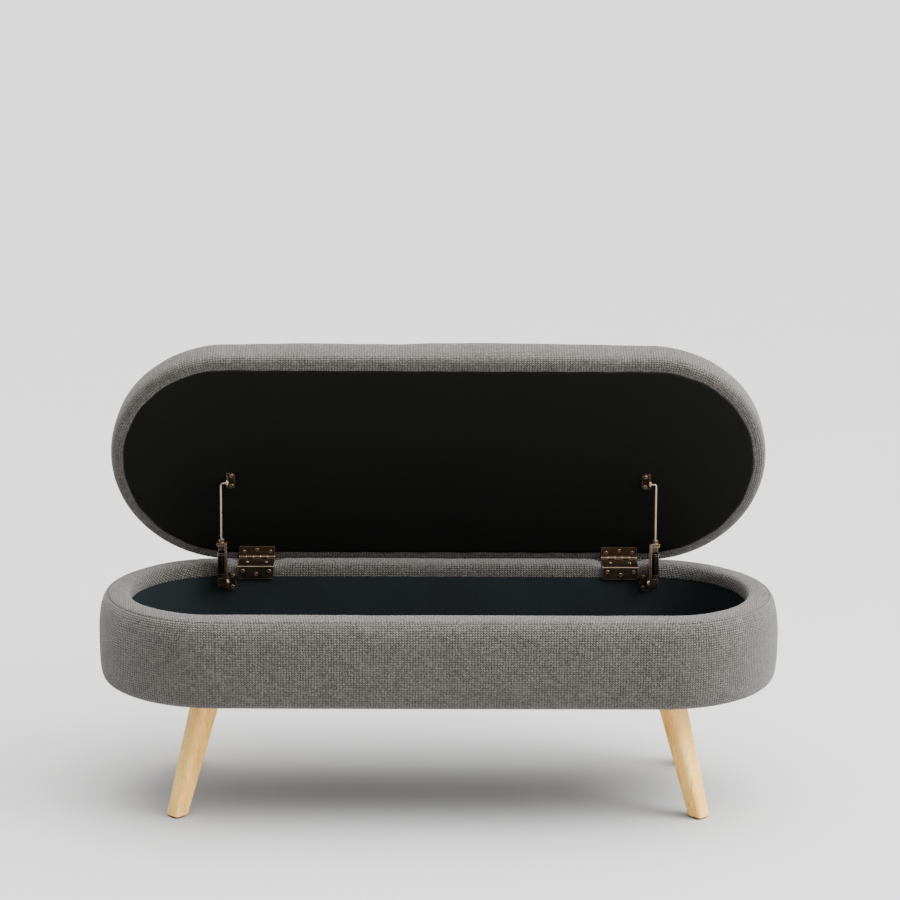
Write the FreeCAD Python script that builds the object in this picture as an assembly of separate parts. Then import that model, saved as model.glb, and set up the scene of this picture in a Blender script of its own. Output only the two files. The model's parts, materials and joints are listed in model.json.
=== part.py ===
"""Oval upholstered storage bench with a hinged padded lid, two sliding stays and four splayed legs.

Units are millimetres and degrees. X runs along the bench, Y towards its back and Z up from the floor.
Everything is drawn about the middle of the base, and the last step moves it to the export frame.
"""
import FreeCAD
import Part
import os
from math import atan2, cos, degrees, hypot, radians, sin
from FreeCAD import Vector

# Driving dimensions ------------------------------------------------------------------------------
BASE_LENGTH = 1100.0
BASE_DEPTH = 400.0
BASE_BOTTOM = 203.0
RIM_TOP = 340.5
OPENING_LENGTH = 1004.0
OPENING_DEPTH = 282.0
FABRIC = 1.5
SHOULDER_RADIUS = 22.0
BOTTOM_RADIUS = 14.0
SEAM_INSET = 16.0
SKIRT_BOTTOM = 322.0
SIDE_PADDING = 12.5
RIM_PADDING = 9.0
RIM_BOARD = 16.0
FLOOR_BOARD = 12.0
SHELL_PLY = 6.0
LINING = 0.8
FLAP_WIDTH = 30.0

LID_LENGTH = 1086.0
LID_DEPTH = 392.0
LID_THICKNESS = 74.0
LID_FOLD_WIDTH = 43.0
LID_LOWER_RADIUS = 14.0
LID_UPPER_RADIUS = 22.0
LID_SEAM_INSET = 20.0
LID_BOARD = 15.0
LID_BOARD_INSET = 18.0
LID_LINING_INSET = 21.0
LID_LINING = 0.6
LID_OPEN_ANGLE = 73.0

HINGE_X = 305.0
HINGE_WIDTH = 60.0
HINGE_Y = 184.5
LEAF = 2.0
BARREL_RADIUS = 3.5
PIN_RADIUS = 1.75
PIN_RUNNING_RADIUS = 1.82
KNUCKLES = 5
KNUCKLE_GAP = 0.3
BASE_LEAF_DROP = 22.0
LID_LEAF_HEIGHT = 20.5

STAY_PIVOT_X = 351.0
STAY_PIVOT_Y = 127.0
STAY_PIVOT_Z = 316.0
STAY_REACH = 150.0
STAY_LID_DROP = 7.0
BRACKET_PLATE_WIDTH = 12.0
BRACKET_PLATE_HEIGHT = 29.0
EAR_RADIUS = 8.0
CHANNEL_HALF_WIDTH = 9.0
CHANNEL_WALL = 1.5
CHANNEL_DEPTH = 15.0
CHANNEL_FOOT = -7.0
CHANNEL_FLANGE = 3.5
CHANNEL_WINDOW = 10.0
CHANNEL_TOP = 68.0
SLEEVE_RADIUS = 7.0
SLEEVE_LIP_RADIUS = 7.5
SLEEVE_BORE_RADIUS = 4.5
SLEEVE_BOTTOM = 12.0
SLEEVE_TOP = 52.0
SLEEVE_LIP = 3.5
GUIDE_BOTTOM = 67.0
GUIDE_TOP = 76.0
GUIDE_RADIUS = 4.8
ROD_RADIUS = 2.0
ROD_FIT = 0.05
ROD_BEND = 4.0
ROD_TAIL = 65.0
TAIL_HEAD_RADIUS = 3.5
TAIL_HEAD = 1.8
RIVET_RADIUS = 2.5
RIVET_HEAD_RADIUS = 4.0
RIVET_HEAD = 1.3
SIDE_GAP = 0.1
PIVOT_CLEARANCE = 0.3

LEG_TOP_X = 370.0
LEG_TOP_Y = 108.0
LEG_FOOT_X = 421.0
LEG_FOOT_Y = 127.0
LEG_TOP_REACH = 23.0
LEG_FOOT_REACH = 16.5
LEG_TOP_CORNER = 14.0
LEG_FOOT_CORNER = 5.0
LEG_ARRIS = 1.2
GLIDE_RADIUS = 11.0
GLIDE = 3.0
GLIDE_STEM_RADIUS = 2.5
GLIDE_STEM = 12.0
LEG_PLATE_SIZE = 60.0
LEG_PLATE = 2.0
LEG_SCREW_PITCH = 46.0
BOLT_RADIUS = 4.0
BOLT_IN_LEG = 38.0
BOLT_IN_BASE = 9.0

SCREW_HEAD_RADIUS = 3.5
SCREW_HEAD = 1.2
SCREW_SHANK_RADIUS = 1.7
SCREW_LENGTH = 12.0
SOCKET_RADIUS = 1.8
SOCKET_DEPTH = 0.8
STAPLE_CROWN = 10.0
STAPLE_WIRE = 0.7
STAPLE_LEG = 5.0
STAPLES_PER_SIDE = 11
STAPLES_PER_END = 7

BACK_SHIFT = 28.2

# Levels and places that follow from them ---------------------------------------------------------
HINGE_Z = RIM_TOP + BARREL_RADIUS
WOOD_LENGTH = BASE_LENGTH - 2 * (FABRIC + SIDE_PADDING)
WOOD_DEPTH = BASE_DEPTH - 2 * (FABRIC + SIDE_PADDING)
FLOOR_BOTTOM = BASE_BOTTOM + FABRIC
FLOOR_TOP = FLOOR_BOTTOM + FLOOR_BOARD
RIM_BOARD_TOP = RIM_TOP - FABRIC - RIM_PADDING
RIM_BOARD_BOTTOM = RIM_BOARD_TOP - RIM_BOARD
LID_BOTTOM = HINGE_Z + BARREL_RADIUS
LID_BOARD_BOTTOM = LID_BOTTOM + FABRIC
LID_TOP = LID_BOTTOM + LID_THICKNESS
LID_LINING_FACE = LID_BOTTOM - LID_LINING
INNER_WALL = OPENING_DEPTH / 2 - FABRIC
ROD_X = STAY_PIVOT_X + LEAF / 2 + SIDE_GAP + CHANNEL_WALL + SLEEVE_LIP_RADIUS
STAY_LID_Z = HINGE_Z - STAY_LID_DROP
STAY_LID_Y = HINGE_Y - STAY_REACH
SIDES = {"left": -1, "right": 1}
CORNERS = {
    "front_left": (-1, -1),
    "front_right": (1, -1),
    "rear_left": (-1, 1),
    "rear_right": (1, 1),
}
X_AXIS = Vector(1, 0, 0)
Y_AXIS = Vector(0, 1, 0)
Z_AXIS = Vector(0, 0, 1)
ORIGIN = Vector(0, 0, 0)


# Shared helpers ----------------------------------------------------------------------------------
def box(x0, x1, y0, y1, z0, z1):
    """Return a box between two corners."""
    return Part.makeBox(x1 - x0, y1 - y0, z1 - z0, Vector(x0, y0, z0))


def oval(length, depth, z0, z1):
    """Return a slab whose outline has two straight sides and two half-round ends."""
    r = depth / 2
    a = length / 2 - r
    edges = [
        Part.LineSegment(Vector(-a, -r, z0), Vector(a, -r, z0)).toShape(),
        Part.Arc(Vector(a, -r, z0), Vector(a + r, 0, z0), Vector(a, r, z0)).toShape(),
        Part.LineSegment(Vector(a, r, z0), Vector(-a, r, z0)).toShape(),
        Part.Arc(Vector(-a, r, z0), Vector(-a - r, 0, z0), Vector(-a, -r, z0)).toShape(),
    ]
    return Part.Face(Part.Wire(edges)).extrude(Vector(0, 0, z1 - z0))


def ring(length, depth, inner_length, inner_depth, z0, z1):
    """Return an oval slab with an oval opening through it."""
    return oval(length, depth, z0, z1).cut(oval(inner_length, inner_depth, z0 - 1, z1 + 1))


def round_level(shape, z, radius, wider_than=0.0, narrower_than=1e6):
    """Round the edges that lie at height z, and whose outline has a half depth within the two limits."""
    picked = []
    for edge in shape.Edges:
        b = edge.BoundBox
        flat = abs(b.ZMin - z) < 0.01 and abs(b.ZMax - z) < 0.01
        reach = max(abs(b.YMin), abs(b.YMax))
        if flat and wider_than < reach < narrower_than:
            picked.append(edge)
    return shape.makeFillet(radius, picked)


def turned(shape, angle):
    """Turn a shape about the hinge line."""
    result = shape.copy()
    result.rotate(Vector(0, HINGE_Y, HINGE_Z), X_AXIS, angle)
    return result


def mirrored(shape, side):
    """Return the shape for the left (-1) or right (1) side, from one drawn on the right."""
    return shape if side > 0 else shape.mirror(ORIGIN, X_AXIS)


def fused(shapes):
    """Fuse a list of touching shapes into one clean solid."""
    return shapes[0].multiFuse(shapes[1:]).removeSplitter()


def screw(point, direction, length=SCREW_LENGTH):
    """Return a pan-head screw whose head rests at point and whose shank runs along direction."""
    d = Vector(direction).normalize()
    head = Part.makeCylinder(SCREW_HEAD_RADIUS, SCREW_HEAD, point - d * SCREW_HEAD, d)
    rim = [e for e in head.Edges if abs((e.CenterOfMass - point).dot(d) + SCREW_HEAD) < 0.01]
    head = head.makeFillet(SCREW_HEAD * 0.6, rim)
    socket = Part.makeCylinder(SOCKET_RADIUS, SOCKET_DEPTH, point - d * SCREW_HEAD, d)
    shank = Part.makeCylinder(SCREW_SHANK_RADIUS, length, point, d)
    tip = Part.makeCone(SCREW_SHANK_RADIUS, 0.2, 3 * SCREW_SHANK_RADIUS, point + d * length, d)
    return fused([head.cut(socket), shank, tip])


def drilled(shape, tools):
    """Cut a list of solids out of a shape."""
    return shape.cut(Part.makeCompound(tools))


def group(shapes):
    """Collect identical fasteners in one compound of separate solids."""
    return Part.makeCompound(shapes)


# Base: covers and padding ------------------------------------------------------------------------
def padded_block(outset):
    """Return the base's rounded body, 0 for the cover's outside and -FABRIC for its inside."""
    inner = OPENING_LENGTH - 2 * (FABRIC + outset)
    inner_depth = OPENING_DEPTH - 2 * (FABRIC + outset)
    top = RIM_TOP + outset
    bottom = BASE_BOTTOM - outset
    length = BASE_LENGTH + 2 * outset
    depth = BASE_DEPTH + 2 * outset
    body = ring(length, depth, inner, inner_depth, bottom, top)
    middle = (BASE_DEPTH + OPENING_DEPTH) / 4
    body = round_level(body, top, SHOULDER_RADIUS + outset, wider_than=middle)
    body = round_level(body, top, 6 + outset, narrower_than=middle)
    return round_level(body, bottom, BOTTOM_RADIUS + outset, wider_than=middle)


def base_covers():
    """Return the side cover and the rim cover, which meet at a seam on the shoulder."""
    shell = padded_block(0).cut(padded_block(-FABRIC))
    skirt = oval(OPENING_LENGTH + 0.2, OPENING_DEPTH + 0.2, BASE_BOTTOM - 1, SKIRT_BOTTOM)
    flap_length = BASE_LENGTH - 2 * FLAP_WIDTH
    flap_depth = BASE_DEPTH - 2 * FLAP_WIDTH
    under = oval(flap_length, flap_depth, BASE_BOTTOM - 1, FLOOR_BOTTOM + 1)
    shell = shell.cut(skirt).cut(under)
    seam = oval(BASE_LENGTH - 2 * SEAM_INSET, BASE_DEPTH - 2 * SEAM_INSET, 300, RIM_TOP + 1)
    return shell.cut(seam), shell.common(seam)


def base_padding():
    """Return the side foam and the rim foam."""
    body = padded_block(-FABRIC)
    wood = oval(WOOD_LENGTH, WOOD_DEPTH, BASE_BOTTOM - 1, RIM_TOP + 1)
    rim = oval(WOOD_LENGTH, WOOD_DEPTH, RIM_BOARD_TOP, RIM_TOP + 1)
    return body.cut(wood), body.common(rim)


# Base: box -----------------------------------------------------------------------------------------
def floor_panel():
    """Return the board that the legs are screwed to."""
    return oval(WOOD_LENGTH, WOOD_DEPTH, FLOOR_BOTTOM, FLOOR_TOP)


def rim_board():
    """Return the ring of board on top of the wall."""
    return ring(WOOD_LENGTH, WOOD_DEPTH, OPENING_LENGTH, OPENING_DEPTH, RIM_BOARD_BOTTOM, RIM_BOARD_TOP)


def shells():
    """Return the outer and the inner bent plywood shell."""
    grow = 2 * SHELL_PLY
    outer = ring(WOOD_LENGTH, WOOD_DEPTH, WOOD_LENGTH - grow, WOOD_DEPTH - grow, FLOOR_TOP, RIM_BOARD_BOTTOM)
    inner = ring(
        OPENING_LENGTH + grow,
        OPENING_DEPTH + grow,
        OPENING_LENGTH,
        OPENING_DEPTH,
        FLOOR_TOP,
        RIM_BOARD_BOTTOM,
    )
    return outer, inner


def wall_posts():
    """Return the posts between the shells by name."""
    grow = 2 * SHELL_PLY
    cavity = ring(
        WOOD_LENGTH - grow,
        WOOD_DEPTH - grow,
        OPENING_LENGTH + grow,
        OPENING_DEPTH + grow,
        FLOOR_TOP,
        RIM_BOARD_BOTTOM,
    )
    half_length = BASE_LENGTH / 2
    half_depth = BASE_DEPTH / 2
    spans = {
        "rear_left": (-380, -262, 0, half_depth),
        "rear_right": (262, 380, 0, half_depth),
        "front_left": (-345, -285, -half_depth, 0),
        "front_right": (285, 345, -half_depth, 0),
        "end_left": (-half_length, -half_length + 60, -35, 35),
        "end_right": (half_length - 60, half_length, -35, 35),
    }
    posts = {}
    for name, (x0, x1, y0, y1) in spans.items():
        posts["wall_post_" + name] = cavity.common(box(x0, x1, y0, y1, FLOOR_TOP, RIM_BOARD_BOTTOM))
    return posts


def linings():
    """Return the wall lining, the floor lining and the dust cover."""
    wall = ring(
        OPENING_LENGTH,
        OPENING_DEPTH,
        OPENING_LENGTH - 2 * LINING,
        OPENING_DEPTH - 2 * LINING,
        FLOOR_TOP + LINING,
        SKIRT_BOTTOM,
    )
    floor = oval(OPENING_LENGTH, OPENING_DEPTH, FLOOR_TOP, FLOOR_TOP + LINING)
    length = BASE_LENGTH - 2 * FLAP_WIDTH - 1
    depth = BASE_DEPTH - 2 * FLAP_WIDTH - 1
    dust = oval(length, depth, FLOOR_BOTTOM - LINING, FLOOR_BOTTOM)
    return wall, floor, dust


# Base: legs ----------------------------------------------------------------------------------------
def leg_axis(sx, sy):
    """Return the foot point, the top point and the direction of one leg's axis."""
    foot = Vector(sx * LEG_FOOT_X, sy * LEG_FOOT_Y, 0)
    top = Vector(sx * LEG_TOP_X, sy * LEG_TOP_Y, BASE_BOTTOM)
    return foot, top, (top - foot).normalize()


def leg_plate_top():
    """Return the height of the leg plates' upper face."""
    return FLOOR_BOTTOM - LINING


def leg_section(centre, axis, reach, corner):
    """Return the outline of a rounded square across a leg's axis, with a corner facing the front."""
    sideways = (X_AXIS - axis * axis.x).normalize()
    corners = [sideways, axis.cross(sideways), -sideways, -axis.cross(sideways)]
    starts = []
    middles = []
    ends = []
    for i, outward in enumerate(corners):
        arc_centre = centre + outward * (reach - corner)
        following = corners[(i + 1) % 4]
        starts.append(arc_centre + (outward + corners[i - 1]).normalize() * corner)
        middles.append(arc_centre + outward * corner)
        ends.append(arc_centre + (outward + following).normalize() * corner)
    edges = []
    for i in range(4):
        edges.append(Part.Arc(starts[i], middles[i], ends[i]).toShape())
        edges.append(Part.makeLine(ends[i], starts[(i + 1) % 4]))
    return Part.Wire(edges)


def leg_parts(sx, sy):
    """Return the leg, its plate, its hanger bolt, its glide and its four plate screws."""
    foot, top, axis = leg_axis(sx, sy)
    plate_top = leg_plate_top()
    plate_bottom = plate_top - LEG_PLATE
    length = (top - foot).Length
    spare = 20.0
    reach_slope = (LEG_TOP_REACH - LEG_FOOT_REACH) / length * spare
    corner_slope = (LEG_TOP_CORNER - LEG_FOOT_CORNER) / length * spare
    sections = [
        leg_section(foot - axis * spare, axis, LEG_FOOT_REACH - reach_slope, LEG_FOOT_CORNER - corner_slope),
        leg_section(top + axis * spare, axis, LEG_TOP_REACH + reach_slope, LEG_TOP_CORNER + corner_slope),
    ]
    taper = Part.makeLoft(sections, True, True)
    slab = box(-BASE_LENGTH, BASE_LENGTH, -BASE_DEPTH, BASE_DEPTH, GLIDE, plate_bottom)
    leg = round_level(taper.common(slab), GLIDE, LEG_ARRIS)
    centre = foot + axis * (plate_top / axis.z)
    half = LEG_PLATE_SIZE / 2
    plate = box(
        centre.x - half, centre.x + half, centre.y - half, centre.y + half, plate_bottom, plate_top
    )
    plate = plate.makeFillet(6, [e for e in plate.Edges if e.BoundBox.ZLength > LEG_PLATE / 2])
    bolt_start = centre - axis * BOLT_IN_LEG
    bolt = Part.makeCylinder(BOLT_RADIUS, BOLT_IN_LEG + BOLT_IN_BASE, bolt_start, axis)
    glide_at = foot + axis * (GLIDE / axis.z)
    glide_at.z = 0
    glide = Part.makeCylinder(GLIDE_RADIUS, GLIDE, glide_at)
    glide = round_level(glide, 0, 1.0)
    stem = Part.makeCylinder(GLIDE_STEM_RADIUS, GLIDE_STEM, glide_at + Z_AXIS * GLIDE)
    glide = glide.fuse(stem)
    screws = []
    for dx in (-LEG_SCREW_PITCH / 2, LEG_SCREW_PITCH / 2):
        for dy in (-LEG_SCREW_PITCH / 2, LEG_SCREW_PITCH / 2):
            point = Vector(centre.x + dx, centre.y + dy, plate_bottom)
            screws.append(screw(point, Z_AXIS, length=8.0))
    leg = drilled(leg, [bolt, stem])
    plate = drilled(plate, [bolt] + screws)
    return leg, plate, bolt, glide, screws


# Hinges --------------------------------------------------------------------------------------------
def knuckle_spans(own):
    """Return the X spans of the base's knuckles (own = 0) or the lid's (own = 1), about the middle."""
    step = HINGE_WIDTH / KNUCKLES
    spans = []
    for i in range(KNUCKLES):
        if i % 2 == own:
            start = -HINGE_WIDTH / 2 + i * step
            spans.append((start, start + step - KNUCKLE_GAP))
    return spans


def knuckles(own, bore):
    """Return the barrels of one leaf along X through the hinge line, about x = 0."""
    parts = []
    for x0, x1 in knuckle_spans(own):
        at = Vector(x0, HINGE_Y, HINGE_Z)
        barrel = Part.makeCylinder(BARREL_RADIUS, x1 - x0, at, X_AXIS)
        parts.append(barrel.cut(Part.makeCylinder(bore, x1 - x0, at, X_AXIS)))
    return parts


def knuckle_clearances(other):
    """Return the blocks that clear the other leaf's knuckles out of a leaf."""
    r = BARREL_RADIUS + 0.4
    blocks = []
    for x0, x1 in knuckle_spans(other):
        low = x0 - KNUCKLE_GAP
        high = x1 + KNUCKLE_GAP
        blocks.append(box(low, high, HINGE_Y - r, HINGE_Y + r, HINGE_Z - r, HINGE_Z + r))
    return blocks


def base_leaf():
    """Return the bent leaf that lies on the rim and turns down inside the box, about x = 0."""
    half = HINGE_WIDTH / 2 - KNUCKLE_GAP
    face = INNER_WALL - FABRIC - LEAF
    bottom = RIM_TOP + LEAF - BASE_LEAF_DROP
    flat = box(-half, half, face, HINGE_Y, RIM_TOP, RIM_TOP + LEAF)
    down = box(-half, half, face, face + LEAF, bottom, RIM_TOP + LEAF)
    leaf = fused([flat, down])
    bend = [
        e
        for e in leaf.Edges
        if e.BoundBox.XLength > half and abs(e.CenterOfMass.y - face) < 0.1
        and abs(e.CenterOfMass.z - RIM_TOP - LEAF) < 0.1
    ]
    leaf = leaf.makeFillet(LEAF * 1.2, bend)
    corners = [
        e
        for e in leaf.Edges
        if abs(e.BoundBox.YLength - LEAF) < 0.1 and abs(e.CenterOfMass.z - bottom) < 0.1
        and e.BoundBox.XLength < 0.1
    ]
    leaf = leaf.makeFillet(2.0, corners)
    leaf = drilled(leaf, knuckle_clearances(1))
    leaf = fused([leaf] + knuckles(0, PIN_RADIUS))
    bore = Part.makeCylinder(PIN_RADIUS, HINGE_WIDTH + 2, Vector(-half - 2, HINGE_Y, HINGE_Z), X_AXIS)
    return leaf.cut(bore)


def base_leaf_screws():
    """Return the two screws down into the rim and the three into the inner wall, about x = 0."""
    face = INNER_WALL - FABRIC - LEAF
    screws = []
    for dx in (-16.0, 16.0):
        screws.append(screw(Vector(dx, 161.0, RIM_TOP + LEAF), -Z_AXIS, 15.0))
    for dx, dz in ((-22.0, 9.0), (0.0, 14.0), (22.0, 9.0)):
        screws.append(screw(Vector(dx, face, RIM_TOP + LEAF - dz), Y_AXIS))
    return screws


def lid_leaf():
    """Return the leaf on the lid's underside with the lid closed, about x = 0."""
    half = HINGE_WIDTH / 2 - KNUCKLE_GAP
    low = LID_LINING_FACE - LEAF
    leaf = box(-half, half, HINGE_Y - LID_LEAF_HEIGHT, HINGE_Y, low, LID_LINING_FACE)
    corners = [
        e
        for e in leaf.Edges
        if e.BoundBox.ZLength > LEAF / 2 and e.CenterOfMass.y < HINGE_Y - LID_LEAF_HEIGHT + 0.1
    ]
    leaf = leaf.makeFillet(2.0, corners)
    leaf = drilled(leaf, knuckle_clearances(0))
    leaf = fused([leaf] + knuckles(1, PIN_RUNNING_RADIUS))
    at = Vector(-HINGE_WIDTH, HINGE_Y, HINGE_Z)
    return leaf.cut(Part.makeCylinder(PIN_RUNNING_RADIUS, 2 * HINGE_WIDTH, at, X_AXIS))


def lid_leaf_screws():
    """Return the three screws of a lid leaf with the lid closed, about x = 0."""
    screws = []
    for dx, dy in ((-22.0, 10.5), (0.0, 14.5), (22.0, 10.5)):
        point = Vector(dx, HINGE_Y - dy, LID_LINING_FACE - LEAF)
        screws.append(screw(point, Z_AXIS))
    return screws


def hinge_pin(x):
    """Return one hinge pin."""
    half = HINGE_WIDTH / 2 - KNUCKLE_GAP
    return Part.makeCylinder(PIN_RADIUS, 2 * half, Vector(x - half, HINGE_Y, HINGE_Z), X_AXIS)


# Stays, drawn on the right -------------------------------------------------------------------------
def stay_line(angle):
    """Return the length and the lean of a stay, from its base pivot to its lid pivot."""
    pivot = Vector(STAY_PIVOT_X, STAY_LID_Y, STAY_LID_Z)
    point = FreeCAD.Placement(ORIGIN, FreeCAD.Rotation(X_AXIS, -angle), Vector(0, HINGE_Y, HINGE_Z))
    pivot = point.multVec(pivot)
    dy = pivot.y - STAY_PIVOT_Y
    dz = pivot.z - STAY_PIVOT_Z
    return hypot(dy, dz), degrees(atan2(dy, dz))


def leaned(shape):
    """Place a stay part that was drawn upright from its base pivot."""
    lean = stay_line(LID_OPEN_ANGLE)[1]
    result = shape.copy()
    result.rotate(ORIGIN, X_AXIS, -lean)
    result.translate(Vector(0, STAY_PIVOT_Y, STAY_PIVOT_Z))
    return result


def stay_channel():
    """Return the channel, open away from the middle of the bench and cut back along its front."""
    x0 = STAY_PIVOT_X + LEAF / 2 + SIDE_GAP
    x1 = x0 + CHANNEL_DEPTH
    w = CHANNEL_HALF_WIDTH
    body = box(x0, x1, -w, w, CHANNEL_FOOT, CHANNEL_TOP)
    corners = [
        e
        for e in body.Edges
        if e.BoundBox.XLength > 1 and e.CenterOfMass.z < CHANNEL_FOOT + 0.1
    ]
    body = body.makeFillet(3.0, corners)
    inside = w - CHANNEL_WALL
    hollow = box(x0 + CHANNEL_WALL, x1 + 1, -inside, inside, CHANNEL_FOOT - 1, CHANNEL_TOP + 1)
    window = box(x0 + CHANNEL_FLANGE, x1 + 1, -w - 1, -inside + 1, CHANNEL_WINDOW, CHANNEL_TOP + 1)
    hole = Part.makeCylinder(RIVET_RADIUS + ROD_FIT, 3 * CHANNEL_WALL, Vector(x0 - 1, 0, 0), X_AXIS)
    return leaned(body.cut(hollow).cut(window).cut(hole))


def stay_sleeve():
    """Return the damper sleeve that lies in the channel."""
    at = Vector(ROD_X, 0, SLEEVE_BOTTOM)
    tube = Part.makeCylinder(SLEEVE_RADIUS, SLEEVE_TOP - SLEEVE_BOTTOM, at)
    lips = [
        Part.makeCylinder(SLEEVE_LIP_RADIUS, SLEEVE_LIP, at),
        Part.makeCylinder(SLEEVE_LIP_RADIUS, SLEEVE_LIP, Vector(ROD_X, 0, SLEEVE_TOP - SLEEVE_LIP)),
    ]
    bore = Part.makeCylinder(SLEEVE_BORE_RADIUS, SLEEVE_TOP, Vector(ROD_X, 0, 0))
    return leaned(fused([tube] + lips).cut(bore))


def stay_guide():
    """Return the collar in the channel's top that the rod slides through."""
    inside = CHANNEL_HALF_WIDTH - CHANNEL_WALL
    web = STAY_PIVOT_X + LEAF / 2 + SIDE_GAP + CHANNEL_WALL
    foot = box(web, ROD_X + SLEEVE_LIP_RADIUS, -inside, inside, GUIDE_BOTTOM - 2.5, GUIDE_BOTTOM + 2.5)
    collar = Part.makeCylinder(GUIDE_RADIUS, GUIDE_TOP - GUIDE_BOTTOM, Vector(ROD_X, 0, GUIDE_BOTTOM))
    collar = round_level(collar, GUIDE_TOP, 1.0)
    bore = Part.makeCylinder(ROD_RADIUS + ROD_FIT, GUIDE_TOP, Vector(ROD_X, 0, GUIDE_BOTTOM - 10))
    relief = Part.makeCylinder(TAIL_HEAD_RADIUS + 0.3, 10, Vector(ROD_X, 0, GUIDE_BOTTOM - 10))
    return leaned(fused([foot, collar]).cut(bore).cut(relief))


def stay_rod():
    """Return the rod with its tail head and the hook that reaches the lid bracket."""
    length = stay_line(LID_OPEN_ANGLE)[0]
    straight = length - ROD_BEND - ROD_TAIL
    shaft = Part.makeCylinder(ROD_RADIUS, straight, Vector(ROD_X, 0, ROD_TAIL))
    head = Part.makeCylinder(TAIL_HEAD_RADIUS, TAIL_HEAD, Vector(ROD_X, 0, ROD_TAIL))
    profile = Part.Face(Part.Wire(Part.makeCircle(ROD_RADIUS, Vector(ROD_X, 0, length - ROD_BEND), Z_AXIS)))
    turn = profile.revolve(Vector(ROD_X - ROD_BEND, 0, length - ROD_BEND), Vector(0, -1, 0), 90)
    end = STAY_PIVOT_X + LEAF / 2 + PIVOT_CLEARANCE
    reach = ROD_X - ROD_BEND - end
    hook = Part.makeCylinder(ROD_RADIUS, reach, Vector(end, 0, length), X_AXIS)
    return leaned(fused([shaft, head, turn, hook]))


def stay_base_bracket():
    """Return the plate on the rear inner wall with the ear that the channel turns on."""
    back = INNER_WALL - FABRIC
    x1 = STAY_PIVOT_X - LEAF / 2
    plate = box(
        x1 - BRACKET_PLATE_WIDTH,
        x1 + LEAF,
        back - LEAF,
        back,
        STAY_PIVOT_Z - BRACKET_PLATE_HEIGHT / 2,
        STAY_PIVOT_Z + BRACKET_PLATE_HEIGHT / 2,
    )
    corners = [
        e for e in plate.Edges if e.BoundBox.YLength > 1 and e.CenterOfMass.x < x1 - BRACKET_PLATE_WIDTH + 0.1
    ]
    plate = plate.makeFillet(5.5, corners)
    pivot = Vector(x1, STAY_PIVOT_Y, STAY_PIVOT_Z)
    tongue = box(x1, x1 + LEAF, STAY_PIVOT_Y, back, STAY_PIVOT_Z - EAR_RADIUS, STAY_PIVOT_Z + EAR_RADIUS)
    nose = Part.makeCylinder(EAR_RADIUS, LEAF, pivot, X_AXIS)
    hole = Part.makeCylinder(RIVET_RADIUS, LEAF, pivot, X_AXIS)
    return fused([plate, tongue, nose]).cut(hole)


def stay_rivet():
    """Return the rivet that joins the channel to the base bracket."""
    x0 = STAY_PIVOT_X - LEAF / 2 - RIVET_HEAD
    x1 = STAY_PIVOT_X + LEAF / 2 + SIDE_GAP + CHANNEL_WALL + SIDE_GAP
    inboard = Part.makeCylinder(RIVET_HEAD_RADIUS, RIVET_HEAD, Vector(x0, 0, 0), X_AXIS)
    outboard = Part.makeCylinder(RIVET_HEAD_RADIUS, RIVET_HEAD, Vector(x1, 0, 0), X_AXIS)
    inboard = inboard.makeFillet(0.8, [e for e in inboard.Edges if e.BoundBox.XMax < x0 + 0.1])
    shank = Part.makeCylinder(RIVET_RADIUS, x1 - x0, Vector(x0, 0, 0), X_AXIS)
    rivet = fused([inboard, shank, outboard])
    rivet.translate(Vector(0, STAY_PIVOT_Y, STAY_PIVOT_Z))
    return rivet


def bracket_screws(along, into, face):
    """Return the two screws of a bracket, spaced along a direction from the point face."""
    pitch = 9.5
    return [screw(face + along * pitch, into), screw(face - along * pitch, into)]


def stay_base_screws():
    """Return the two screws of the base bracket."""
    x = STAY_PIVOT_X - LEAF / 2 - BRACKET_PLATE_WIDTH / 2
    face = Vector(x, INNER_WALL - FABRIC - LEAF, STAY_PIVOT_Z)
    return bracket_screws(Z_AXIS, Y_AXIS, face)


def stay_lid_bracket():
    """Return the bracket on the lid's underside with the lid closed."""
    x1 = STAY_PIVOT_X - LEAF / 2
    half = BRACKET_PLATE_HEIGHT / 2
    plate = box(
        x1 - BRACKET_PLATE_WIDTH,
        x1 + LEAF,
        STAY_LID_Y - half,
        STAY_LID_Y + half,
        LID_LINING_FACE - LEAF,
        LID_LINING_FACE,
    )
    corners = [
        e for e in plate.Edges if e.BoundBox.ZLength > 1 and e.CenterOfMass.x < x1 - BRACKET_PLATE_WIDTH + 0.1
    ]
    plate = plate.makeFillet(5.5, corners)
    pivot = Vector(x1, STAY_LID_Y, STAY_LID_Z)
    tongue = box(
        x1, x1 + LEAF, STAY_LID_Y - EAR_RADIUS, STAY_LID_Y + EAR_RADIUS, STAY_LID_Z, LID_LINING_FACE
    )
    nose = Part.makeCylinder(EAR_RADIUS, LEAF, pivot, X_AXIS)
    dome = Part.makeCylinder(3.2, 1.4, pivot - X_AXIS * 1.4, X_AXIS)
    dome = dome.makeFillet(0.9, [e for e in dome.Edges if e.BoundBox.XMax < x1 - 1.3])
    return fused([plate, tongue, nose, dome])


def stay_lid_screws():
    """Return the two screws of the lid bracket with the lid closed."""
    x = STAY_PIVOT_X - LEAF / 2 - BRACKET_PLATE_WIDTH / 2
    face = Vector(x, STAY_LID_Y, LID_LINING_FACE - LEAF)
    return bracket_screws(Y_AXIS, Z_AXIS, face)


# Lid, drawn closed ---------------------------------------------------------------------------------
def lid_block(outset):
    """Return the lid's rounded body, 0 for the cover's outside and -FABRIC for its inside."""
    bottom = LID_BOTTOM - outset
    top = LID_TOP + outset
    body = oval(LID_LENGTH + 2 * outset, LID_DEPTH + 2 * outset, bottom, top)
    body = round_level(body, top, LID_UPPER_RADIUS + outset)
    return round_level(body, bottom, LID_LOWER_RADIUS + outset)


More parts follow.
